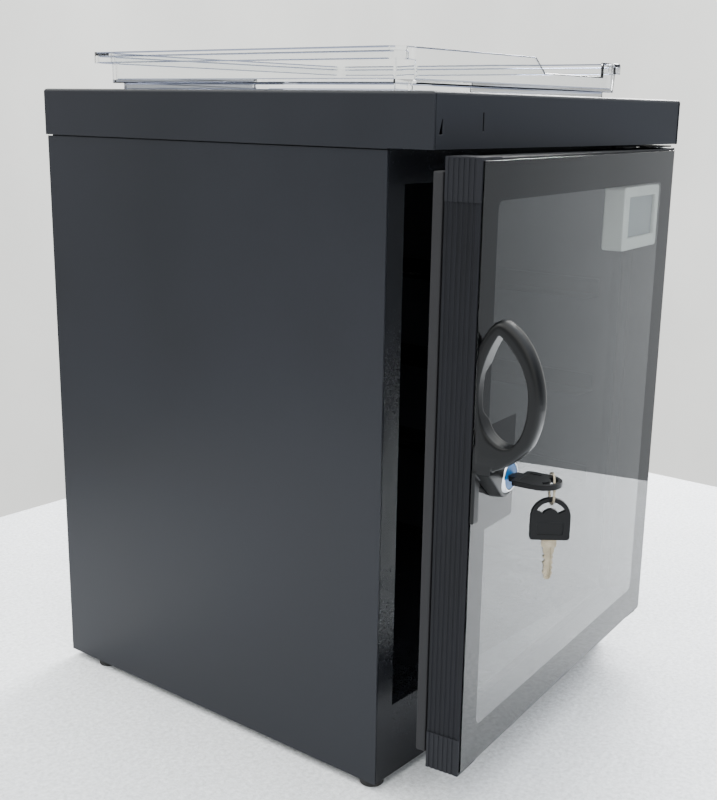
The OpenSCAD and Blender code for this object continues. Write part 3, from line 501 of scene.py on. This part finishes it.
def grip_loop(shape):
    """The leaf-shaped loop, with a crowned section that flows from the tip round to the chin.

    The side view is drawn as (distance out from the glass, height).
    """
    outer = (
        bezier((0, 315), (3, 322), (8, 332), (15.5, 331.3))
        + bezier((15.5, 331.3), (30, 326), (42, 303), (41.2, 282))
        + bezier((41.2, 282), (40.4, 272), (38.6, 266), (35.6, 259.5))
        + bezier((35.6, 259.5), (30, 252), (20, 243), (9, 240))
        + [[0.1, 238.4], [0.1, 290]]
    )
    hole = (
        bezier((13.5, 323.2), (24, 314), (33.2, 302), (33.2, 287))
        + bezier((33.2, 287), (33.2, 275), (30.8, 266), (25.6, 260.4))
        + bezier((25.6, 260.4), (22, 256.6), (17, 257), (12, 260.5))
        + bezier((12, 260.5), (4.2, 266), (2.2, 275), (2.2, 286))
        + bezier((2.2, 286), (2.2, 300), (6, 312), (13.5, 323.2))
    )
    centre, turns, around = (16, 288), 144, 24
    rings = []
    for i in range(turns):
        angle = 2 * math.pi * i / turns
        near, far = reach(hole, centre, angle), reach(outer, centre, angle)
        u, z = centre[0] + far * math.cos(angle), centre[1] + far * math.sin(angle)
        slim = min(max((9 - u) / 6, 0), 1) * min(max((312 - z) / 10, 0), 1) * min(max((z - 264) / 10, 0), 1)
        width = GRIP - 6 * slim
        ring = []
        for k in range(around):
            turn = 2 * math.pi * k / around
            c, q = math.cos(turn), math.sin(turn)
            # The side towards the hole is flat with tight corners, the outer one is crowned.
            tight = 0.24 if c < 0 else 0.8
            c = math.copysign(abs(c) ** tight, c)
            q = math.copysign(abs(q) ** tight, q)
            r = (near + far) / 2 + (far - near) / 2 * c
            x = EDGE + width * (0.5 + 0.5 * q)
            u, z = centre[0] + r * math.cos(angle), centre[1] + r * math.sin(angle)
            ring.append(shape.verts.new(door_place(x, FRONT - u, z)))
        rings.append(ring)
    for a, b in zip(rings, rings[1:] + rings[:1]):
        for k in range(around):
            shape.faces.new((a[k], a[(k + 1) % around], b[(k + 1) % around], b[k]))


def solid_hull(shape, points):
    """The closed convex solid round a list of points of the closed door."""
    verts = [shape.verts.new(door_place(*p)) for p in points]
    made = bmesh.ops.convex_hull(shape, input=verts)
    inside = [v for v in made["geom_interior"] if isinstance(v, bmesh.types.BMVert)]
    bmesh.ops.delete(shape, geom=inside, context="VERTS")


def disc(radius, y, n=48):
    """Points of a circle round the lock's axis."""
    return [
        (LOCK_X + radius * math.cos(2 * math.pi * i / n), y, LOCK_Z + radius * math.sin(2 * math.pi * i / n))
        for i in range(n)
    ]


def corners(low, high):
    """The eight corners of a box."""
    return [(x, y, z) for x in (low[0], high[0]) for y in (low[1], high[1]) for z in (low[2], high[2])]


def handle():
    """The moulded handle: loop, hub and tail melted into one skin."""
    cutter = bmesh.new()
    solid_hull(cutter, disc(11.3, FRONT - HUB_H + 0.1) + disc(11.3, FRONT - 30))
    seat = link(bpy.data.meshes.new("seat"), "seat")
    cutter.to_mesh(seat.data)
    cutter.free()
    shape = bmesh.new()
    chin = corners((EDGE + 0.6, FRONT - 11.6, 239), (EDGE + GRIP - 0.6, FRONT, 256))
    solid_hull(shape, chin + disc(HUB_R - 0.1, FRONT - 0.1) + disc(HUB_R - 1.1, FRONT - HUB_H))
    hub = link(bpy.data.meshes.new("hub"), "hub")
    shape.to_mesh(hub.data)
    shape.free()
    pocket = hub.modifiers.new("pocket", "BOOLEAN")
    pocket.object, pocket.operation, pocket.solver = seat, "DIFFERENCE", "EXACT"
    settle(hub)
    bpy.data.objects.remove(seat)
    shape = bmesh.new()
    shape.from_mesh(hub.data)
    bpy.data.objects.remove(hub)
    grip_loop(shape)
    solid_hull(shape, corners((EDGE + 0.1, FRONT - 2.3, 207.2), (EDGE + 6.9, FRONT - 0.05, 240)))
    bmesh.ops.recalc_face_normals(shape, faces=shape.faces)
    mesh = bpy.data.meshes.new("handle_moulded")
    shape.to_mesh(mesh)
    shape.free()
    made = link(mesh, "handle_moulded")
    grid = made.modifiers.new("grid", "REMESH")
    grid.mode, grid.voxel_size = "VOXEL", 0.45 * MM
    relax = made.modifiers.new("relax", "SMOOTH")
    relax.factor, relax.iterations = 0.5, 2
    settle(made)
    smooth(made.data, 60)
    return stand_for(made, "handle")


handle()


# ---------------------------------------------------------------- keys and ring


def placed(origin, across, along):
    """A matrix that stands a flat outline, drawn in mm as (across, along), at origin."""
    across, along = Vector(across).normalized(), Vector(along).normalized()
    through = across.cross(along)
    turn = Matrix((across, along, through)).transposed().to_4x4()
    return Matrix.Translation(origin) @ turn @ Matrix.Scale(MM, 4)


def plate(name, outline, thick, where):
    """A flat plate, centred on the plane of its outline."""
    shape = bmesh.new()
    base = [shape.verts.new(where @ Vector((x, y, -thick / 2))) for x, y in outline]
    top = [shape.verts.new(where @ Vector((x, y, thick / 2))) for x, y in outline]
    shape.faces.new(base[::-1])
    shape.faces.new(top)
    for i in range(len(outline)):
        j = (i + 1) % len(outline)
        shape.faces.new((base[i], base[j], top[j], top[i]))
    bmesh.ops.recalc_face_normals(shape, faces=shape.faces)
    mesh = bpy.data.meshes.new(name)
    shape.to_mesh(mesh)
    shape.free()
    return link(mesh, name)


def round_box(w, h, r, n=6):
    """Outline of a rectangle with round corners."""
    return [
        (sx * (w / 2 - r) + r * math.cos(t), sy * (h / 2 - r) + r * math.sin(t))
        for sx, sy, start in ((1, 1, 0), (-1, 1, 90), (-1, -1, 180), (1, -1, 270))
        for t in [math.radians(start + 90 * i / n) for i in range(n + 1)]
    ]


def key_blade(name, width, where, shoulder=0.0):
    """A nickel plated blade: tooth cuts on both edges, a round tip and a milled groove in each face.

    shoulder is how much further each edge stands out where the blade leaves its bow.
    """
    right = []
    for i in range(53):
        v = -25.9 * i / 52
        half = width / 2 + shoulder * (v > -4.6)
        if v < -8:
            cut = 0.5 + 0.5 * math.cos(2 * math.pi * (v + 8) / 3.4)
            half -= 0.25 + 1.0 * (1 - cut) * min(1, (-8 - v) / 2)
        if v < -23.6:
            half = min(half, math.sqrt(max(2.35**2 - (-23.6 - v) ** 2, 0.05)))
        right.append((half, v))
    left = [(-x + 0.35 * (1 if y < -9 else 0) * math.sin(1.3 * y), y) for x, y in reversed(right)]
    made = plate(name + "_cut", right + left, 2.0, where)
    grooves = []
    for x, z in ((0.5, 1.0), (-0.5, -1.0)):
        outline = [(x - 0.9, -24), (x + 0.9, -24), (x + 0.9, -4.5), (x - 0.9, -4.5)]
        grooves.append(plate("groove", outline, 1.1, where @ Matrix.Translation((0, 0, z))))
    for groove in grooves:
        cut = made.modifiers.new("groove", "BOOLEAN")
        cut.object, cut.operation, cut.solver = groove, "DIFFERENCE", "EXACT"
    edge = made.modifiers.new("edge", "BEVEL")
    edge.width, edge.segments, edge.limit_method, edge.angle_limit = 0.18 * MM, 2, "ANGLE", math.radians(40)
    settle(made)
    for groove in grooves:
        bpy.data.objects.remove(groove)
    smooth(made.data, 40)
    return stand_for(made, name)


def key_bow(name, middle, across, along):
    """A moulded bow with a sunk panel in each face, left blank."""
    where = placed(middle, across, along)
    sunk = round_box(16, 8, 1.2)
    panels = [plate("panel", sunk, 0.9, where @ Matrix.Translation((0, -7.3, z))) for z in (1.6, -1.6)]
    return softened(name, 0.55, 3, cuts=panels)


def keys():
    """The key in the lock, which lies level, and the spare one, which hangs from the ring."""
    out = Vector(JOINT["key_slide"]["axis"])
    side = Vector((0, 0, 1)).cross(out)
    lock = door_place(LOCK_X, FRONT - 16, LOCK_Z)
    key_bow("key_bow", lock + out * 14.7 * MM, side, out)
    key_blade("key_blade", 6.9, placed(lock + out * -4.6 * MM, side, out))
    thin = Vector(JOINT["spare_swing"]["axis"]).normalized()
    wide = Vector((0, 0, 1)).cross(thin)
    low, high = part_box("spare_bow")
    middle = (low + high) / 2
    key_bow("spare_bow", Vector((middle.x, middle.y, high.z - 12.3 * MM)), wide, (0, 0, 1))
    key_blade("spare_blade", 7.0, placed((middle.x, middle.y, low.z), wide, (0, 0, 1)), 1.2)


keys()


def split_ring(turns=2.1, wire=0.55, rise=1.05):
    """A ring of flat-wound spring wire: two turns side by side, with its two cut ends."""
    low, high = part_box("key_ring")
    centre = (low + high) / 2
    radius = (high.z - low.z) / 2 - 0.95 * MM
    axis = Vector(JOINT["ring_swing"]["axis"]).cross(Vector((0, 0, 1))).normalized()
    along = axis.cross(Vector((0, 0, 1))).normalized()
    steps = int(turns * 64)
    path = bpy.data.curves.new("ring_path", "CURVE")
    path.dimensions = "3D"
    path.bevel_depth, path.bevel_resolution, path.use_fill_caps = wire * MM, 4, True
    line = path.splines.new("POLY")
    line.points.add(steps)
    for i in range(steps + 1):
        turn = 2 * math.pi * turns * i / steps + 0.9
        offset = (i / steps - 0.5) * rise * MM * turns / 2
        around = math.cos(turn) * along + math.sin(turn) * Vector((0, 0, 1))
        line.points[i].co = (*(centre + radius * around + offset * axis), 1)
    made = bpy.data.objects.new("key_ring_wound", path)
    bpy.context.scene.collection.objects.link(made)
    graph = bpy.context.evaluated_depsgraph_get()
    mesh = bpy.data.meshes.new_from_object(made.evaluated_get(graph), depsgraph=graph)
    bpy.data.objects.remove(made)
    smooth(mesh, 50)
    return stand_for(link(mesh, "key_ring_wound"), "key_ring")


split_ring()


# ---------------------------------------------------------------- screws


def lathe(profile, n=28):
    """A closed solid of revolution about z from (radius, height) pairs in mm, from its foot up."""
    shape = bmesh.new()
    rings = []
    for r, z in profile:
        if r < 1e-6:
            rings.append([shape.verts.new((0, 0, z * MM))])
            continue
        turns = [2 * math.pi * i / n for i in range(n)]
        rings.append([shape.verts.new((r * MM * math.cos(t), r * MM * math.sin(t), z * MM)) for t in turns])
    for a, b in zip(rings, rings[1:]):
        for i in range(n):
            j = (i + 1) % n
            corner = [a[i % len(a)], a[j % len(a)], b[j % len(b)], b[i % len(b)]]
            shape.faces.new(list(dict.fromkeys(corner)))
    bmesh.ops.recalc_face_normals(shape, faces=shape.faces)
    mesh = bpy.data.meshes.new("lathe")
    shape.to_mesh(mesh)
    shape.free()
    return mesh


def pan_screw(head_r, head_h, shank_r, length):
    """A pan head screw with its top at z = 0, a cross recess and a blunt shank."""
    turns = [i * math.pi / 14 for i in range(1, 7)]
    dome = [(head_r * math.cos(t), -head_h * (1 - 0.92 * math.sin(t))) for t in turns]
    tip = [(0, -length), (shank_r * 0.7, -length), (shank_r, -length + 0.8)]
    collar = [(shank_r, -head_h), (head_r, -head_h), (head_r, -head_h * 0.85)]
    made = link(lathe(tip + collar + dome + [(0, -head_h * 0.08)]), "pan_screw")
    wide, narrow = head_r * 1.1, 0.75
    arms = [
        plate("arm", round_box(w, h, 0.2, 2), 2.2, Matrix.Scale(MM, 4))
        for w, h in ((wide, narrow), (narrow, wide))
    ]
    for arm in arms:
        cut = made.modifiers.new("recess", "BOOLEAN")
        cut.object, cut.operation, cut.solver = arm, "DIFFERENCE", "EXACT"
    settle(made)
    for arm in arms:
        bpy.data.objects.remove(arm)
    smooth(made.data, 40)
    return made


def fastener_tree():
    """Geometry nodes: a screw on every point, turned to the point's axis and by a random twist."""
    tree = bpy.data.node_groups.new("fasteners", "GeometryNodeTree")
    face = tree.interface
    face.new_socket("Geometry", in_out="INPUT", socket_type="NodeSocketGeometry")
    for label, kind in (("Screw", "Object"), ("Finish", "Material"), ("Seed", "Int")):
        face.new_socket(label, in_out="INPUT", socket_type="NodeSocket" + kind)
    face.new_socket("Geometry", in_out="OUTPUT", socket_type="NodeSocketGeometry")
    given = add(tree, "NodeGroupInput")
    screw = add(tree, "GeometryNodeObjectInfo", {"Object": given.outputs["Screw"]})
    axis = add(tree, "GeometryNodeInputNamedAttribute", {"Name": "axis"}, data_type="FLOAT_VECTOR")
    aim = add(tree, "FunctionNodeAlignRotationToVector", {"Vector": axis.outputs["Attribute"]}, axis="Z")
    twist = add(tree, "FunctionNodeRandomValue", {"Seed": given.outputs["Seed"]}, data_type="FLOAT")
    twist.inputs[3].default_value = math.pi
    spin = add(tree, "FunctionNodeAxisAngleToRotation", {"Axis": (0, 0, 1), "Angle": twist.outputs[1]})
    both = add(
        tree,
        "FunctionNodeRotateRotation",
        {"Rotation": aim.outputs[0], "Rotate By": spin.outputs[0]},
        rotation_space="LOCAL",
    )
    spots, model = given.outputs["Geometry"], screw.outputs["Geometry"]
    set_in = {"Points": spots, "Instance": model, "Rotation": both.outputs[0]}
    put = add(tree, "GeometryNodeInstanceOnPoints", set_in).outputs[0]
    real = add(tree, "GeometryNodeRealizeInstances", {"Geometry": put}).outputs[0]
    coated = {"Geometry": real, "Material": given.outputs["Finish"]}
    done = add(tree, "GeometryNodeSetMaterial", coated)
    add(tree, "NodeGroupOutput", {"Geometry": done.outputs[0]})
    return tree


FASTENERS = fastener_tree()


def islands(name):
    """The boxes of a CAD node's separate solids, as (low, high)."""
    shape = bmesh.new()
    shape.from_mesh(NODES[name].data)
    bmesh.ops.remove_doubles(shape, verts=shape.verts, dist=2e-6)
    left, found = set(shape.verts), []
    while left:
        open_ends, solid = [left.pop()], []
        while open_ends:
            here = open_ends.pop()
            solid.append(here.co.copy())
            for edge in here.link_edges:
                other = edge.other_vert(here)
                if other in left:
                    left.remove(other)
                    open_ends.append(other)
        found.append([Vector([pick(c[i] for c in solid) for i in range(3)]) for pick in (min, max)])
    shape.free()
    return found


def screws(name, heads, seed):
    """Screws in place of a CAD node. heads gives, for an axis, the head's height and the shank's radius."""
    spots, axes, kinds = [], [], []
    for low, high in islands(name):
        middle, half = (low + high) / 2, (high - low) / 2
        axis, head_h, shank_r = heads(middle)
        axis = Vector(axis)
        length = 2 * abs(half.dot(axis))
        head_r = max(half[i] for i in range(3) if abs(axis[i]) < 0.5)
        spots.append(middle + axis * length / 2)
        axes.append(axis)
        kinds.append((round(head_r / MM, 2), head_h, shank_r, round(length / MM, 2)))
    parts = []
    for kind in sorted(set(kinds)):
        mine = [i for i, k in enumerate(kinds) if k == kind]
        cloud = bpy.data.meshes.new(name + "_spots")
        cloud.from_pydata([spots[i] for i in mine], [], [])
        held = cloud.attributes.new("axis", "FLOAT_VECTOR", "POINT")
        for row, i in zip(held.data, mine):
            row.vector = axes[i]
        made = link(cloud, name + "_set")
        model = pan_screw(*kind)
        grow = made.modifiers.new("screws", "NODES")
        grow.node_group = FASTENERS
        sockets = FASTENERS.interface.items_tree
        ids = {item.name: item.identifier for item in sockets if item.in_out == "INPUT"}
        grow[ids["Screw"]], grow[ids["Finish"]], grow[ids["Seed"]] = model, FINISH[SLOT_OF[name]], seed
        settle(made)
        bpy.data.objects.remove(model)
        parts.append(made)
    shape = bmesh.new()
    for part in parts:
        shape.from_mesh(part.data)
    mesh = bpy.data.meshes.new(name + "_driven")
    shape.to_mesh(mesh)
    shape.free()
    for part in parts:
        bpy.data.objects.remove(part)
    smooth(mesh, 40)
    return stand_for(link(mesh, name + "_driven"), name)


screws("back_screws", lambda p: ((0, 1, 0), 1.7, 1.5), 3)
screws("hinge_screws", lambda p: ((0, -1, 0), 1.6, 1.4), 5)
screws("foot_screws", lambda p: ((0, 0, -1), 1.8, 1.9), 7)
screws("module_screws", lambda p: ((0, 1, 0), 1.7, 1.5) if p.y > 0.15 else ((0, -1, 0), 1.5, 1.15), 11)


# ---------------------------------------------------------------- table, room and light


def times(tree, a, b):
    """The product of two fields."""
    return add(tree, "ShaderNodeMath", {0: a, 1: b}, operation="MULTIPLY").outputs[0]


def table_top():
    """White foam board: a finely beaded top whose right and back edges end in view."""
    made, tree = blank("bead_foam_board")
    place = add(tree, "ShaderNodeTexCoord").outputs["Object"]
    # Beads of expanded polystyrene, about 4 mm across, pressed flat.
    beads = add(tree, "ShaderNodeTexVoronoi", {"Vector": place, "Scale": per_metre(4), "Randomness": 1.0})
    rough_skin = {"Vector": place, "Scale": per_metre(3.4), "Detail": 4.0, "Roughness": 0.75}
    pores = add(tree, "ShaderNodeTexNoise", rough_skin).outputs["Fac"]
    drift = add(tree, "ShaderNodeTexNoise", {"Vector": place, "Scale": per_metre(60), "Detail": 4.0})
    tone = None
    for field, low, high, dark in (
        (beads.outputs["Distance"], 0.7, 0.1, 0.92),
        (pores, 0.35, 0.62, 0.74),
        (drift.outputs["Fac"], 0.35, 0.65, 0.96),
    ):
        ends = {"Value": field, "From Min": low, "From Max": high, "To Min": dark, "To Max": 1.0}
        shade = add(tree, "ShaderNodeMapRange", ends).outputs[0]
        tone = times(tree, tone, shade) if tone else shade
    white = {0: linear("#f4f7fc")[:3], "Scale": tone}
    paint = add(tree, "ShaderNodeVectorMath", white, operation="SCALE")
    relief = add(tree, "ShaderNodeBump", {"Height": pores, "Strength": 0.8, "Distance": 1.0 * MM})
    finish(
        tree,
        {
            "Base Color": paint.outputs[0],
            "Roughness": 0.7,
            "Normal": relief.outputs[0],
            "Specular IOR Level": 0.3,
        },
    )
    low, high = Vector((-2.4, -2.6, -0.03)), Vector((0.65, 0.515, 0))
    shape = bmesh.new()
    bmesh.ops.create_cube(shape, size=1)
    for v in shape.verts:
        v.co = Vector([low[i] + (v.co[i] + 0.5) * (high[i] - low[i]) for i in range(3)])
    mesh = bpy.data.meshes.new("table")
    shape.to_mesh(mesh)
    shape.free()
    mesh.materials.append(made)
    board = link(mesh, "table")


# Brightness of the walls all round, of their dim side and of the ceiling.
WALLS, DIM_SIDE, CEILING = 1.75, 0.5, 4.2


def facing(tree, level, azimuth, wide, narrow, **ends):
    """A field that runs from 0 to 1, or between ends, as a level direction nears an azimuth.

    It starts wide degrees away from the azimuth and is full within narrow degrees of it.
    """
    turn = math.radians(azimuth)
    near = add(
        tree,
        "ShaderNodeVectorMath",
        {0: level, 1: (math.sin(turn), math.cos(turn), 0)},
        operation="DOT_PRODUCT",
    )
    span = {"From Min": math.cos(math.radians(wide)), "From Max": math.cos(math.radians(narrow)), **ends}
    span["Value"] = near.outputs["Value"]
    return add(tree, "ShaderNodeMapRange", span, interpolation_type="SMOOTHSTEP").outputs[0]


def room():
    """Soft studio surroundings: pale cloth walls, a bright ceiling, a dim front right and a dimmer left."""
    world = bpy.data.worlds.new("room")
    bpy.context.scene.world = world
    world.use_nodes = True
    tree = world.node_tree
    tree.nodes.clear()
    way = add(tree, "ShaderNodeTexCoord").outputs["Generated"]
    split = add(tree, "ShaderNodeSeparateXYZ", {0: way})
    flat = add(tree, "ShaderNodeCombineXYZ", {0: split.outputs[0], 1: split.outputs[1]})
    level = add(tree, "ShaderNodeVectorMath", {0: flat.outputs[0]}, operation="NORMALIZE").outputs[0]
    dim = facing(tree, level, 138, 56, 8)
    shade = facing(tree, level, 290, 75, 30, **{"To Min": 1.0, "To Max": 0.42})
    near = add(tree, "ShaderNodeMapRange", {"Value": dim, "To Min": WALLS, "To Max": DIM_SIDE})
    # Folds of the cloth: soft upright bands with blotches.
    banded = add(tree, "ShaderNodeMapping", {"Vector": way, "Scale": (1, 1, 0.2)})
    folds = add(tree, "ShaderNodeTexNoise", {"Vector": banded.outputs[0], "Scale": 9.0, "Detail": 3.0})
    blotches = {"Vector": way, "Scale": 5.0, "Detail": 5.0, "Roughness": 0.6}
    stain = add(tree, "ShaderNodeTexNoise", blotches)
    cloth = add(tree, "ShaderNodeMath", {0: folds.outputs["Fac"], 1: stain.outputs["Fac"]}, operation="ADD")
    uneven = {"Value": cloth.outputs[0], "From Min": 0.7, "From Max": 1.3, "To Min": 0.9, "To Max": 1.08}
    mottle = add(tree, "ShaderNodeMapRange", uneven).outputs[0]
    # The walls darken towards the floor.
    rise = {"Value": split.outputs[2], "From Min": -0.3, "From Max": 0.15, "To Min": 0.84, "To Max": 1.08}
    low_down = add(tree, "ShaderNodeMapRange", rise).outputs[0]
    walls = times(tree, times(tree, near.outputs[0], shade), times(tree, low_down, mottle))
    height = add(
        tree,
        "ShaderNodeMapRange",
        {"Value": split.outputs[2], "From Min": 0.2, "From Max": 0.8},
        interpolation_type="SMOOTHSTEP",
    )
    light = add(tree, "ShaderNodeMix", {0: height.outputs[0], 2: walls, 3: CEILING}, data_type="FLOAT")
    warm_to_cool = {0: dim, 6: linear("#fbfcf8"), 7: linear("#eef4fc")}
    tint = add(tree, "ShaderNodeMix", warm_to_cool, data_type="RGBA")
    glow = add(tree, "ShaderNodeBackground", {"Color": tint.outputs[2], "Strength": light.outputs[0]})
    add(tree, "ShaderNodeOutputWorld", {"Surface": glow.outputs[0]})


def soft_box(name, place, aim, size, power):
    """A large soft light."""
    data = bpy.data.lights.new(name, "AREA")
    data.shape, data.size, data.energy = "SQUARE", size, power
    lamp = bpy.data.objects.new(name, data)
    bpy.context.scene.collection.objects.link(lamp)
    lamp.location = place
    lamp.rotation_euler = (Vector(aim) - Vector(place)).to_track_quat("-Z", "Y").to_euler()


table_top()
room()
soft_box("window", (-1.6, 0.5, 1.9), (0, 0, 0.2), 1.6, 16)
soft_box("bounce", (1.6, 0.5, 1.1), (0.45, 0.05, 0), 0.8, 80)
